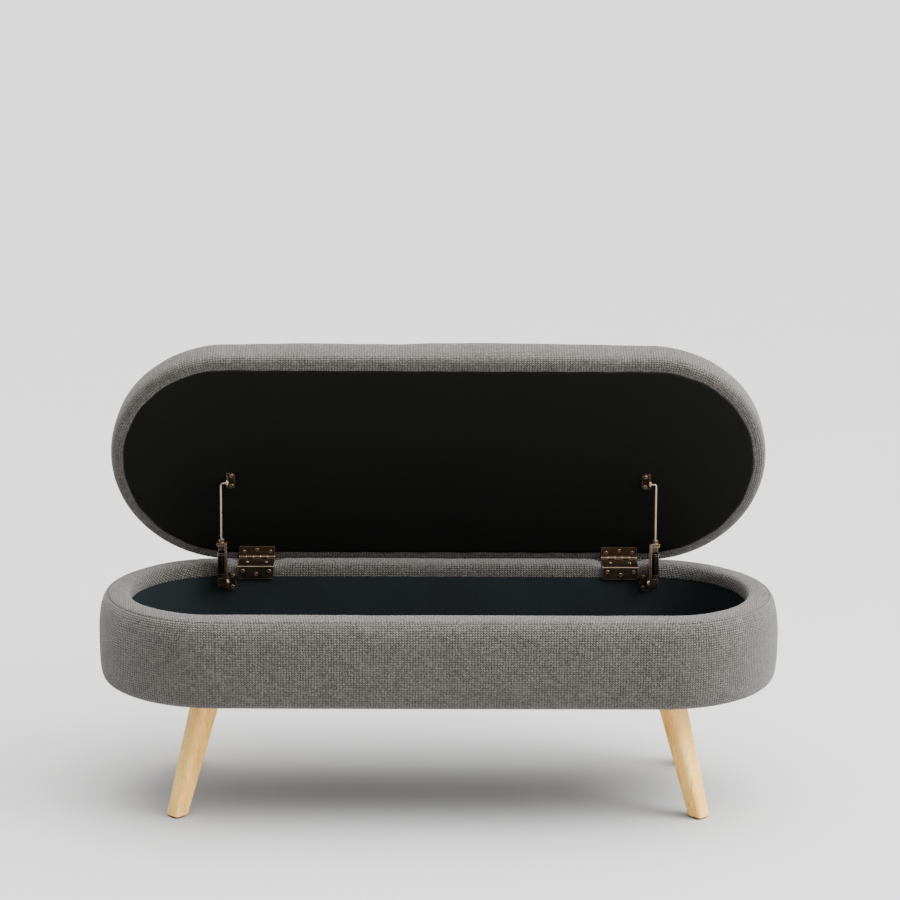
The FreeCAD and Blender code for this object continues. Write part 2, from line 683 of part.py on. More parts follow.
def lid_board():
    """Return the lid's board."""
    length = LID_LENGTH - 2 * LID_BOARD_INSET
    depth = LID_DEPTH - 2 * LID_BOARD_INSET
    return oval(length, depth, LID_BOARD_BOTTOM, LID_BOARD_BOTTOM + LID_BOARD)


def lid_covers():
    """Return the lid's top cover and its border, which folds under the board."""
    fold = oval(
        LID_LENGTH - 2 * LID_FOLD_WIDTH,
        LID_DEPTH - 2 * LID_FOLD_WIDTH,
        LID_BOTTOM - 1,
        LID_BOARD_BOTTOM + 0.5,
    )
    shell = lid_block(0).cut(lid_block(-FABRIC)).cut(fold)
    length = LID_LENGTH - 2 * LID_SEAM_INSET
    depth = LID_DEPTH - 2 * LID_SEAM_INSET
    seam = oval(length, depth, LID_TOP - LID_UPPER_RADIUS, LID_TOP + 1)
    return shell.common(seam), shell.cut(seam)


def lid_lining():
    """Return the lining on the lid's underside."""
    length = LID_LENGTH - 2 * LID_LINING_INSET
    depth = LID_DEPTH - 2 * LID_LINING_INSET
    return oval(length, depth, LID_LINING_FACE, LID_BOTTOM)


def staple(x, y, heading):
    """Return one staple on the lid's lining, its crown turned to the heading in degrees."""
    half = STAPLE_CROWN / 2
    w = STAPLE_WIRE / 2
    low = LID_LINING_FACE - STAPLE_WIRE
    crown = box(-half, half, -w, w, low, LID_LINING_FACE)
    legs = [
        box(-half, -half + STAPLE_WIRE, -w, w, low, LID_LINING_FACE + STAPLE_LEG),
        box(half - STAPLE_WIRE, half, -w, w, low, LID_LINING_FACE + STAPLE_LEG),
    ]
    shape = fused([crown] + legs)
    shape.rotate(ORIGIN, Z_AXIS, heading)
    shape.translate(Vector(x, y, 0))
    return shape


def lid_staples():
    """Return the staples around the lining's edge."""
    r = LID_DEPTH / 2 - LID_LINING_INSET - 6
    a = (LID_LENGTH - LID_DEPTH) / 2
    staples = []
    for i in range(STAPLES_PER_SIDE):
        x = -a + 2 * a * (i + 0.5) / STAPLES_PER_SIDE
        staples.append(staple(x, -r, 0))
        if abs(abs(x) - HINGE_X) > HINGE_WIDTH / 2 + STAPLE_CROWN:
            staples.append(staple(x, r, 0))
    for sx in (-1, 1):
        for i in range(STAPLES_PER_END):
            angle = radians(-90 + 180 * (i + 0.5) / STAPLES_PER_END)
            x = sx * (a + r * cos(angle))
            heading = degrees(atan2(sin(angle), sx * cos(angle))) + 90
            staples.append(staple(x, r * sin(angle), heading))
    return staples


# Assembly ------------------------------------------------------------------------------------------
def hinge_pair(make):
    """Return copies of a hinge's solids at both hinge places."""
    copies = []
    for x in (-HINGE_X, HINGE_X):
        for shape in make():
            moved = shape.copy()
            moved.translate(Vector(x, 0, 0))
            copies.append(moved)
    return copies


def stay_pair(make):
    """Return copies of a stay's solids on both sides."""
    return [mirrored(shape, side) for side in (-1, 1) for shape in make()]


def base_nodes():
    """Return every node of the base by name."""
    nodes = wall_posts()
    nodes["floor_panel"] = floor_panel()
    nodes["rim_board"] = rim_board()
    nodes["outer_shell"], nodes["inner_shell"] = shells()
    nodes["side_foam"], nodes["rim_foam"] = base_padding()
    nodes["side_cover"], nodes["rim_cover"] = base_covers()
    nodes["wall_lining"], nodes["floor_lining"], nodes["dust_cover"] = linings()
    hinge_screws = hinge_pair(base_leaf_screws)
    bracket_fixings = stay_pair(stay_base_screws)
    leg_screws = []
    bolts = []
    for name, (sx, sy) in CORNERS.items():
        leg, plate, bolt, glide, screws = leg_parts(sx, sy)
        nodes["leg_" + name] = leg
        nodes["leg_plate_" + name] = plate
        nodes["foot_glide_" + name] = glide
        bolts.append(bolt)
        leg_screws += screws
    for name in ("floor_panel", "dust_cover"):
        nodes[name] = drilled(nodes[name], bolts + leg_screws)
    fixings = hinge_screws + bracket_fixings
    for name in ("rim_cover", "rim_foam", "rim_board", "inner_shell", "wall_lining"):
        nodes[name] = drilled(nodes[name], fixings)
    for name in ("wall_post_rear_left", "wall_post_rear_right"):
        nodes[name] = drilled(nodes[name], fixings)
    for name, side in SIDES.items():
        leaf = base_leaf()
        leaf.translate(Vector(side * HINGE_X, 0, 0))
        nodes["hinge_base_leaf_" + name] = drilled(leaf, hinge_screws)
        nodes["stay_base_bracket_" + name] = drilled(mirrored(stay_base_bracket(), side), bracket_fixings)
    nodes["hanger_bolts"] = group(bolts)
    nodes["leg_plate_screws"] = group(leg_screws)
    nodes["hinge_base_screws"] = group(hinge_screws)
    nodes["stay_base_screws"] = group(bracket_fixings)
    nodes["hinge_pins"] = group([hinge_pin(-HINGE_X), hinge_pin(HINGE_X)])
    nodes["stay_rivets"] = group([mirrored(stay_rivet(), side) for side in (-1, 1)])
    return nodes


def lid_nodes():
    """Return every node of the lid by name, with the lid open."""
    nodes = {}
    board = lid_board()
    nodes["lid_lining"] = lid_lining()
    nodes["lid_top_cover"], nodes["lid_border_cover"] = lid_covers()
    nodes["lid_foam"] = lid_block(-FABRIC).cut(board)
    nodes["lid_board"] = board
    hinge_screws = hinge_pair(lid_leaf_screws)
    bracket_fixings = stay_pair(stay_lid_screws)
    staples = lid_staples()
    for name in ("lid_board", "lid_lining", "lid_border_cover"):
        nodes[name] = drilled(nodes[name], hinge_screws + bracket_fixings + staples)
    for name, side in SIDES.items():
        leaf = lid_leaf()
        leaf.translate(Vector(side * HINGE_X, 0, 0))
        nodes["hinge_lid_leaf_" + name] = drilled(leaf, hinge_screws)
        nodes["stay_lid_bracket_" + name] = drilled(mirrored(stay_lid_bracket(), side), bracket_fixings)
    nodes["hinge_lid_screws"] = group(hinge_screws)
    nodes["stay_lid_screws"] = group(bracket_fixings)
    nodes["lid_lining_staples"] = group(staples)
    return {name: turned(shape, -LID_OPEN_ANGLE) for name, shape in nodes.items()}


def stay_nodes():
    """Return every node of the two stays by name."""
    makers = {
        "stay_channel_": stay_channel,
        "stay_sleeve_": stay_sleeve,
        "stay_guide_": stay_guide,
        "stay_rod_": stay_rod,
    }
    nodes = {}
    for name, side in SIDES.items():
        for stem, make in makers.items():
            nodes[stem + name] = mirrored(make(), side)
    return nodes


def main():
    os.makedirs("parts", exist_ok=True)
    nodes = {}
    for made in (base_nodes(), lid_nodes(), stay_nodes()):
        nodes.update(made)
    for name, shape in nodes.items():
        moved = shape.copy()
        moved.translate(Vector(0, -BACK_SHIFT, 0))
        moved.exportStep("parts/" + name + ".step")
    for angle in (LID_OPEN_ANGLE, 0.0):
        print("stay length and lean with the lid open by", angle, "degrees:", stay_line(angle))
    print(len(nodes), "nodes")


main()
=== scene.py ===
import json
from math import cos, hypot, pi, radians, sin, tau

import bpy
from mathutils import Matrix, Vector, noise


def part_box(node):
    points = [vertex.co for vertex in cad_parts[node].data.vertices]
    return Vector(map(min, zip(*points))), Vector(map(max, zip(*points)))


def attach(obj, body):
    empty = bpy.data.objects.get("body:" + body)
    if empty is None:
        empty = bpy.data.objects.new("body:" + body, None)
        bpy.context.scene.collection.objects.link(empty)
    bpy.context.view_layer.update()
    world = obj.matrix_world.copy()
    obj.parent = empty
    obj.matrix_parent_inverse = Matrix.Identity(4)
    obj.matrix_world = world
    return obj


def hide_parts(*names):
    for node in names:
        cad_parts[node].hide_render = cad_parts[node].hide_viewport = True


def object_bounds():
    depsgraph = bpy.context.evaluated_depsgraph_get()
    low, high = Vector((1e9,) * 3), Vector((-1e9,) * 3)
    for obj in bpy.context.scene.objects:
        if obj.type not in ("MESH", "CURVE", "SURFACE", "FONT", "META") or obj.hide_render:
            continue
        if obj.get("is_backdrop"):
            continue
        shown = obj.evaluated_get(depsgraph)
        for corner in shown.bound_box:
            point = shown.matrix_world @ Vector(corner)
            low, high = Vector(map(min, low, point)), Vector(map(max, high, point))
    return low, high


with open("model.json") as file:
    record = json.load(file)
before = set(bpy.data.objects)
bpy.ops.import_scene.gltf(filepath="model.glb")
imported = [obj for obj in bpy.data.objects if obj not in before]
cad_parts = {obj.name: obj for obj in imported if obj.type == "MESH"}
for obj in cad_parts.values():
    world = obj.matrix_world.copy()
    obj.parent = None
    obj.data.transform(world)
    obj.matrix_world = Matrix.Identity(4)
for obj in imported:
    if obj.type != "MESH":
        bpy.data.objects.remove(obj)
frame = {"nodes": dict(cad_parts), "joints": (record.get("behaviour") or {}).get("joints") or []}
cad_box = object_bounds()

# An oval storage bench with its padded lid open. Units are metres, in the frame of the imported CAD.

# Places read from the CAD frame --------------------------------------------------------------------
COVER_LOW, COVER_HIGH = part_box("side_cover")
LINING_LOW, LINING_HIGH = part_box("wall_lining")
FLOOR_LOW, FLOOR_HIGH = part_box("floor_lining")
DUST_LOW, DUST_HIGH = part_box("dust_cover")
LEAF_LOW, LEAF_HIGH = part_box("hinge_base_leaf_right")
BASE_Y = (COVER_LOW.y + COVER_HIGH.y) / 2
BASE_RADIUS = (COVER_HIGH.y - COVER_LOW.y) / 2
BASE_SPINE = COVER_HIGH.x - BASE_RADIUS
RIM_TOP = COVER_HIGH.z
OPENING_RADIUS = (LINING_HIGH.y - LINING_LOW.y) / 2
OPENING_SPINE = LINING_HIGH.x - OPENING_RADIUS
HINGE_X = (LEAF_LOW.x + LEAF_HIGH.x) / 2
HINGE_HALF = (LEAF_HIGH.x - LEAF_LOW.x) / 2
LID_HINGE = next(j for j in frame["joints"] if j["name"] == "lid_hinge")
HINGE_Y, HINGE_Z = LID_HINGE["pos_m"][1:]
OPEN_ANGLE = radians(LID_HINGE["range_deg"][1])

# Sizes of the visual pieces ------------------------------------------------------------------------
LID_HALF_LENGTH = 0.543
LID_RADIUS = 0.196
LID_SPINE = LID_HALF_LENGTH - LID_RADIUS
LID_Y = BASE_Y + 0.001
LID_BOTTOM = HINGE_Z + 0.0035
LID_LINING_RADIUS = 0.175
LID_LINING_FACE = LID_BOTTOM - 0.0006
BASE_BOW = 0.0008
LID_BOW = 0.0015
SHOULDER_RADIUS = 0.19
RIM_PUFF_DEPTH = 0.009
LINING_EDGE_BAND = 0.012
STAPLE_PITCH = 0.064
BOX_LINING_THICKNESS = 0.0008
DUST_SAG = 0.0024
STRAIGHT_STEPS = 88
END_STEPS = 64
FLAT_WEAVE_RADIUS = 0.16
YARN_ALONG = 0.0044
YARN_ACROSS = 0.0038

# Light: the sky dome's glow, then (direction, tightness, strength) of each soft glow added to it,
# and (name, place, size, power, colour) of each soft lamp -------------------------------------------
SKY_BASE = 0.14
SKY_LOBES = [
    ((0.2, 0.1, 1.0), 5.0, 13.5),
    ((1.0, -0.3, 0.5), 6.0, 3.8),
    ((-1.0, 0.1, 0.9), 8.0, 0.7),
]
SOFT_LAMPS = [
    ("key", (2.4, -0.7, 2.2), (1.6, 1.2), 105.0, (0.94, 0.98, 1.0)),
    ("fill", (1.2, -3.0, 0.4), (2.4, 0.6), 20.0, (1.0, 1.0, 1.0)),
]
LIT_POINT = (0.0, BASE_Y, 0.4)
FLOOR_HALF = 30.0

# Camera: its place, its turn and its lens -----------------------------------------------------------
CAMERA_PLACE = Vector((-0.0366, -4.4916 + BASE_Y, 1.685))
CAMERA_PITCH = radians(13.86)
CAMERA_YAW = radians(0.68)
CAMERA_ROLL = radians(0.36)
CAMERA_LENS = 115.2


# Sweeps round the oval -----------------------------------------------------------------------------
def stations():
    """Return (spine factor, angle) for each step round an oval, from the front's left end."""
    steps = []
    for half in (0, 1):
        sign = 1 - 2 * half
        for i in range(STRAIGHT_STEPS):
            steps.append((sign * (2 * i / STRAIGHT_STEPS - 1), -pi / 2 + half * pi))
        for i in range(END_STEPS):
            steps.append((sign, -pi / 2 + half * pi + pi * i / END_STEPS))
    return steps


def place(spine, radius, station, centre_y, bow):
    """Return the plan position of a station at a radius; the long sides bow out a little."""
    factor, angle = station
    y = radius * sin(angle) * (1 + bow * (1 - factor * factor) / BASE_RADIUS)
    return factor * spine + radius * cos(angle), centre_y + y


def path_length(station, spine, radius):
    """Return the distance along the oval up to a station, as a cloth strip would measure it."""
    factor, angle = station
    turned = angle + pi / 2
    if turned < pi and factor < 1:
        return (factor + 1) * spine
    if turned < pi:
        return 2 * spine + turned * radius
    if factor > -1:
        return 2 * spine + pi * radius + (1 - factor) * spine
    return 4 * spine + turned * radius


def new_mesh(name, points, faces, weave, material):
    """Make a mesh object whose weave map holds each face corner's place in the cloth, in metres."""
    mesh = bpy.data.meshes.new(name)
    mesh.from_pydata([tuple(p) for p in points], [], faces)
    layer = mesh.uv_layers.new(name="weave")
    for polygon, corners in zip(mesh.polygons, weave):
        for loop, uv in zip(polygon.loop_indices, corners):
            layer.data[loop].uv = uv
    mesh.polygons.foreach_set("use_smooth", [True] * len(mesh.polygons))
    mesh.materials.append(material)
    mesh.validate()
    piece = bpy.data.objects.new(name, mesh)
    bpy.context.scene.collection.objects.link(piece)
    return piece


def sweep(name, profile, spine_of, centre_y, material, planar=False, shape=None, bow=0.0):
    """Sweep a profile of (radius, height) points round the oval, with the cloth's coordinates."""
    ring = stations()
    points = []
    for station in ring:
        for radius, z in profile:
            x, y = place(spine_of(radius), radius, station, centre_y, bow)
            point = Vector((x, y, z))
            points.append(shape(point, station, radius) if shape else point)
    count = len(profile)
    drop = [0.0]
    for (r0, z0), (r1, z1) in zip(profile, profile[1:] + profile[:1]):
        drop.append(drop[-1] + hypot(r1 - r0, z1 - z0))
    outermost = max(range(count), key=lambda n: profile[n][0])
    widest = profile[outermost][0]
    crest = max(range(count), key=lambda n: profile[n][1])
    laid_flat = [profile[crest][0] + drop[crest] - drop[k] for k in range(count)]
    faces = []
    weave = []
    for i, station in enumerate(ring):
        following = (i + 1) % len(ring)
        along = path_length(station, spine_of(widest), widest)
        across = points[i * count + outermost] - points[following * count + outermost]
        step = hypot(across.x, across.y)
        for k in range(count):
            n = (k + 1) % count
            if profile[k][0] == profile[n][0] == 0:
                continue
            faces.append((i * count + k, following * count + k, following * count + n, i * count + n))
            if planar:
                corners = ((station, k), (ring[following], k), (ring[following], n), (station, n))
                flat_spine = spine_of(FLAT_WEAVE_RADIUS)
                weave.append([place(flat_spine, laid_flat[m], at, 0.0, 0.0) for at, m in corners])
            else:
                weave.append([
                    (along, drop[k]),
                    (along + step, drop[k]),
                    (along + step, drop[k + 1]),
                    (along, drop[k + 1]),
                ])
    return new_mesh(name, points, faces, weave, material)


def subdivide(piece):
    """Round a piece with one level of subdivision surface."""
    modifier = piece.modifiers.new("round", "SUBSURF")
    modifier.levels = 1
    modifier.render_levels = 1


def weld(piece):
    """Merge points that fall together, as along a cushion's middle line."""
    modifier = piece.modifiers.new("weld", "WELD")
    modifier.merge_threshold = 0.00005


def base_spine(radius):
    """Return the straight half length at a radius, which grows a little towards the opening."""
    share = (BASE_RADIUS - radius) / (BASE_RADIUS - OPENING_RADIUS)
    return BASE_SPINE + (OPENING_SPINE - BASE_SPINE) * min(max(share, 0.0), 1.0)


def lid_spine(radius):
    """Return the lid's straight half length, the same at every radius."""
    return LID_SPINE


def soft_step(value, low, high):
    """Return 0 below low, 1 above high and a smooth ramp between."""
    t = min(max((value - low) / (high - low), 0.0), 1.0)
    return t * t * (3 - 2 * t)


def swell(point, seed, size, amount):
    """Return a gentle signed unevenness at a point."""
    return amount * noise.noise(point / size + Vector((seed, 2.7 * seed, 0)))


def near_hinge(x):
    """Return 1 under a hinge leaf and 0 well away from it."""
    return 1 - soft_step(abs(abs(x) - HINGE_X), HINGE_HALF - 0.001, HINGE_HALF + 0.022)


# Shapes of the soft pieces -------------------------------------------------------------------------
def shape_side(point, station, radius):
    """Make the stretched side cover a little uneven, as cloth over foam is."""
    angle = station[1]
    outward = Vector((cos(angle), sin(angle), 0))
    if radius < SHOULDER_RADIUS:
        return point
    return point + outward * (swell(point, 11.89, 0.16, 0.0016) + swell(point, 8.4, 0.05, 0.0007))


def shape_rim(point, station, radius):
    """Dent the rim a little where the closed lid rests, and press it flat under the hinge leaves."""
    if point.z < RIM_TOP - RIM_PUFF_DEPTH:
        return point
    lift = swell(point, 5.2, 0.11, 0.0012) + swell(point, 9.9, 0.035, 0.0005)
    z = point.z + (lift if lift < 0 else 0.25 * lift)
    if point.y > BASE_Y:
        press = near_hinge(point.x)
        z = z * (1 - press) + min(z, RIM_TOP - 0.0003) * press
    return Vector((point.x, point.y, z))


def shape_lid(point, station, radius):
    """Make the lid's foam a little uneven."""
    angle = station[1]
    height = soft_step(point.z, LID_BOTTOM + 0.008, LID_BOTTOM + 0.03)
    outward = Vector((cos(angle), sin(angle), 0)) * min(radius / LID_RADIUS, 1.0)
    bulge = swell(point, 12.6, 0.15, 0.0018) + swell(point, 1.9, 0.045, 0.0006)
    return point + outward * bulge * height + Vector((0, 0, bulge * 0.8 * height))


def open_lid(piece):
    """Turn a piece that was made on the closed lid to where the open lid is."""
    turn = Matrix.Rotation(-OPEN_ANGLE, 4, "X")
    to_hinge = Matrix.Translation((0, -HINGE_Y, -HINGE_Z))
    piece.data.transform(to_hinge.inverted() @ turn @ to_hinge)
    piece.data.update()


# Materials -----------------------------------------------------------------------------------------
class Nodes:
    """A small helper that adds and links shader nodes."""

    def __init__(self, name):
        self.material = bpy.data.materials.new(name)
        self.material.use_nodes = True
        self.tree = self.material.node_tree
        self.shader = self.tree.nodes["Principled BSDF"]

    def add(self, kind, inputs=None, **settings):
        """Add a node with its settings, and link or set its inputs."""
        node = self.tree.nodes.new("ShaderNode" + kind)
        for key, value in settings.items():
            setattr(node, key, value)
        for key, value in (inputs or {}).items():
            self.feed(node.inputs[key], value)
        return node

    def feed(self, socket, value):
        """Link a socket to another one, or set its value."""
        if isinstance(value, bpy.types.NodeSocket):
            self.tree.links.new(value, socket)
        else:
            socket.default_value = value

    def math(self, operation, a, b=0.0, c=0.0):
        """Return the result of one arithmetic step."""
        node = self.add("Math", {0: a, 1: b, 2: c}, operation=operation)
        return node.outputs[0]

    def noise(self, vector, scale, detail=3.0, roughness=0.5):
        """Return cloudy noise from 0 to 1."""
        inputs = {"Vector": vector, "Scale": scale, "Detail": detail, "Roughness": roughness}
        return self.add("TexNoise", inputs).outputs["Fac"]

    def ramp(self, value, stops):
        """Return the colour of a value between (position, colour) stops."""
        node = self.add("ValToRGB", {"Fac": value})
        elements = node.color_ramp.elements
        while len(elements) < len(stops):
            elements.new(0.5)
        for element, (position, colour) in zip(elements, stops):
            element.position = position
            element.color = (*colour, 1.0)
        return node.outputs["Color"]

    def mix(self, share, a, b, blend="MIX"):
        """Return one colour mixed into another by a share."""
        node = self.add("Mix", data_type="RGBA", blend_type=blend)
        self.feed(node.inputs["Factor"], share)
        self.feed(node.inputs[6], a if isinstance(a, bpy.types.NodeSocket) else (*a, 1.0))
        self.feed(node.inputs[7], b if isinstance(b, bpy.types.NodeSocket) else (*b, 1.0))
        return node.outputs[2]

    def bump(self, height, distance, strength=1.0, normal=None):
        """Return a normal that is tilted by a height."""
        inputs = {"Height": height, "Distance": distance, "Strength": strength}
        if normal:
            inputs["Normal"] = normal
        return self.add("Bump", inputs).outputs["Normal"]

    def place(self):
        """Return the object's own coordinates."""
        return self.add("TexCoord").outputs["Object"]

    def stretch(self, vector, scale):
        """Return coordinates scaled along each axis."""
        inputs = {"Vector": vector, "Scale": scale}
        return self.add("Mapping", inputs).outputs["Vector"]

    def set(self, **sockets):
        """Set the shader's sockets, with underscores for spaces, and return the material."""
        for key, value in sockets.items():
            self.feed(self.shader.inputs[key.replace("_", " ")], value)
        return self.material


def grey(value):
    """Return a grey colour."""
    return (value, value, value)


def woven_fabric(name, gap_shade, yarn, taupe):
    """A chunky plain weave of fuzzy, slanted yarns with painted shade in the gaps, drawn in the cloth's own
    coordinates.
    """
    n = Nodes(name)
    cloth = n.add("UVMap", uv_map="weave").outputs["UV"]
    where = n.place()
    wobble = n.add("TexNoise", {"Vector": where, "Scale": 150.0, "Detail": 2.0}).outputs["Color"]
    shift = n.add("VectorMath", {0: wobble, 1: (0.5, 0.5, 0.5)}, operation="SUBTRACT").outputs[0]
    scaled = n.add("VectorMath", {0: shift, "Scale": 0.0022}, operation="SCALE").outputs[0]
    moved = n.add("VectorMath", {0: cloth, 1: scaled}, operation="ADD").outputs[0]
    split = n.add("SeparateXYZ", {"Vector": moved})
    u = n.math("DIVIDE", split.outputs["X"], YARN_ALONG)
    v = n.math("DIVIDE", split.outputs["Y"], YARN_ACROSS)
    # Each cell shows one yarn: x and y are places in the cell, and yarns turn from cell to cell.
    column = n.math("FLOOR", u)
    row = n.math("FLOOR", v)
    x = n.math("SUBTRACT", n.math("SUBTRACT", u, column), 0.5)
    y = n.math("SUBTRACT", n.math("SUBTRACT", v, row), 0.5)
    odd = n.math("FLOORED_MODULO", n.math("ADD", column, row), 2.0)
    even = n.math("SUBTRACT", 1.0, odd)
    lean_x = n.math("MULTIPLY_ADD", y, 0.55, x)
    lean_y = n.math("MULTIPLY_ADD", x, 0.40, y)
    across = n.math("ADD", n.math("MULTIPLY", even, lean_x), n.math("MULTIPLY", odd, lean_y))
    along = n.math("ADD", n.math("MULTIPLY", even, y), n.math("MULTIPLY", odd, x))
    side = n.math("MULTIPLY", across, across)
    end = n.math("MULTIPLY", along, along)
    round_side = n.math("MAXIMUM", n.math("MULTIPLY_ADD", side, -4.2, 1.0), 0.0)
    round_end = n.math("MULTIPLY_ADD", end, -2.4, 1.0)
    height = n.math("MULTIPLY", n.math("POWER", round_side, 0.6), round_end)
    cell = n.add("CombineXYZ", {"X": column, "Y": row}).outputs["Vector"]
    single = n.add("TexWhiteNoise", {"Vector": cell}, noise_dimensions="2D").outputs["Value"]
    # Painted shade: the yarn's height darkens its sides and the gaps between yarns. Its own random tone, its
    # fuzz and strands, and wide soft patches make the rest of its tone.
    fuzz = n.noise(where, 1300.0, 2.0, 0.7)
    strand = n.noise(where, 330.0, 2.0)
    patches = n.noise(where, 30.0, 4.0, 0.6)
    tone = n.math("MULTIPLY", height, 0.62)
    tone = n.math("ADD", tone, n.math("MULTIPLY_ADD", single, 0.22, -0.11))
    tone = n.math("ADD", tone, n.math("MULTIPLY_ADD", fuzz, 0.34, -0.07))
    tone = n.math("ADD", tone, n.math("MULTIPLY_ADD", strand, 0.60, -0.30))
    tone = n.math("ADD", tone, n.math("MULTIPLY_ADD", patches, 0.20, -0.10))
    middle = tuple(0.55 * a + 0.45 * b for a, b in zip(gap_shade, yarn))
    # The darkest stop is painted shade in the gaps between yarns.
    colour = n.ramp(tone, [(0.08, gap_shade), (0.45, middle), (0.88, yarn)])
    stain = n.ramp(n.noise(where, 11.0, 3.0), [(0.42, grey(0.0)), (0.66, grey(1.0))])
    colour = n.mix(n.math("MULTIPLY", stain, 0.3), colour, taupe, "MULTIPLY")
    rough = n.bump(height, 0.0018, 0.9)
    fine = n.bump(fuzz, 0.0004, 0.5, rough)
    return n.set(
        Base_Color=colour,
        Roughness=0.95,
        Normal=fine,
        Sheen_Weight=0.30,
        Sheen_Roughness=0.42,
        Specular_IOR_Level=0.15,
    )


def matt_cloth(name, colour, grain):
    """A thin black non-woven or panel lining, with a faint felt grain and soft cloudiness."""
    n = Nodes(name)
    where = n.place()
    felt = n.noise(where, grain, 3.0, 0.6)
    cloud = n.noise(where, 6.0, 3.0)
    brighter = tuple(c * 1.9 for c in colour)
    base = n.ramp(n.math("MULTIPLY_ADD", felt, 0.5, n.math("MULTIPLY", cloud, 0.5)),
                  [(0.3, colour), (0.75, brighter)])
    return n.set(Base_Color=base, Roughness=0.8, Normal=n.bump(felt, 0.0003, 0.35),
                 Specular_IOR_Level=0.12)


def leg_wood():
    """Pale straight-grained hardwood under a satin lacquer."""
    n = Nodes("leg_wood")
    where = n.place()
    long_grain = n.stretch(where, (90.0, 90.0, 5.0))
    fibres = n.noise(long_grain, 1.0, 6.0, 0.65)
    bands = n.noise(n.stretch(where, (34.0, 34.0, 1.6)), 1.0, 3.0, 0.55)
    pores = n.noise(n.stretch(where, (700.0, 700.0, 24.0)), 1.0, 2.0, 0.6)
    tone = n.math("ADD", n.math("MULTIPLY", fibres, 0.45), n.math("MULTIPLY", bands, 0.55))
    colour = n.ramp(tone, [(0.3, (0.76, 0.33, 0.055)), (0.5, (0.98, 0.535, 0.112)),
                           (0.72, (1.0, 0.69, 0.190))])
    dark_pores = n.ramp(pores, [(0.36, grey(0.55)), (0.5, grey(1.0))])
    colour = n.mix(0.7, colour, dark_pores, "MULTIPLY")
    rough = n.math("MULTIPLY_ADD", fibres, 0.12, 0.34)
    return n.set(Base_Color=colour, Roughness=rough, Normal=n.bump(pores, 0.00012, 0.4),
                 Coat_Weight=0.15, Coat_Roughness=0.3)


def raw_wood(name, light, dark, rings):
    """Unfinished board or ply, seen only where the covers leave it bare."""
    n = Nodes(name)
    where = n.place()
    grain = n.noise(n.stretch(where, (rings, 90.0, 90.0)), 1.0, 5.0, 0.6)
    colour = n.ramp(grain, [(0.3, dark), (0.7, light)])
    return n.set(Base_Color=colour, Roughness=0.75, Normal=n.bump(grain, 0.0003, 0.3))


def worn_metal(name, body, edge, roughness, wear=0.0016):
    """Plated steel whose edges are rubbed bright, with faint smudges."""
    n = Nodes(name)
    where = n.place()
    bevel = n.add("Bevel", {"Radius": wear}, samples=4).outputs["Normal"]
    flat = n.add("NewGeometry").outputs["Normal"]
    close = n.add("VectorMath", {0: bevel, 1: flat}, operation="DOT_PRODUCT").outputs["Value"]
    smudge = n.noise(where, 90.0, 4.0, 0.6)
    worn = n.math("MULTIPLY", n.math("SUBTRACT", 1.0, close), 5.0)
    worn = n.math("MINIMUM", n.math("MULTIPLY", worn, n.math("ADD", smudge, 0.5)), 1.0)
    stained = n.mix(smudge, tuple(c * 0.65 for c in body), tuple(c * 1.35 for c in body))
    colour = n.mix(worn, stained, edge)
    rough = n.math("MULTIPLY_ADD", smudge, 0.25, roughness - 0.12)
    return n.set(Base_Color=colour, Metallic=1.0, Roughness=rough,
                 Normal=n.bump(smudge, 0.0001, 0.2))


def moulded_plastic():
    """Dark moulded plastic with a fine spark texture."""
    n = Nodes("glide_plastic")
    grain = n.noise(n.place(), 2500.0, 2.0)
    colour = n.ramp(grain, [(0.3, (0.03, 0.025, 0.02)), (0.7, (0.055, 0.045, 0.036))])
    return n.set(Base_Color=colour, Roughness=0.6, Normal=n.bump(grain, 0.0001, 0.3))


def pale_floor():
    """The studio floor."""
    n = Nodes("studio_floor")
    tone = n.noise(n.place(), 3.0, 2.0)
    return n.set(Base_Color=n.ramp(tone, [(0.0, grey(0.42)), (1.0, grey(0.43))]), Roughness=0.9)


# Pieces --------------------------------------------------------------------------------------------
COVER_FABRIC = woven_fabric(
    "cover_fabric",
    # The gap colour is painted shade between the yarns.
    gap_shade=(0.006, 0.0055, 0.005),
    yarn=(0.138, 0.127, 0.114),
    taupe=(0.88, 0.81, 0.72),
)
LID_LINING_CLOTH = matt_cloth("lid_lining_cloth", (0.0013, 0.0014, 0.0011), 900.0)
BOX_LINING_CLOTH = matt_cloth("box_lining_cloth", (0.0078, 0.0104, 0.0116), 500.0)
DUST_CLOTH = matt_cloth("dust_cloth", (0.010, 0.010, 0.011), 900.0)
BRONZE = worn_metal("bronze_steel", (0.112, 0.080, 0.058), (0.86, 0.62, 0.43), 0.34)
BRIGHT = worn_metal("bright_steel", (0.30, 0.215, 0.16), (0.8, 0.62, 0.48), 0.3)
BLACKENED = worn_metal("blackened_steel", (0.030, 0.024, 0.020), (0.80, 0.56, 0.38), 0.3, 0.001)
ZINC = worn_metal("zinc_steel", (0.55, 0.55, 0.57), (0.8, 0.8, 0.8), 0.4)
BLACK_WIRE = worn_metal("staple_wire", (0.006, 0.006, 0.006), (0.02, 0.02, 0.02), 0.6)


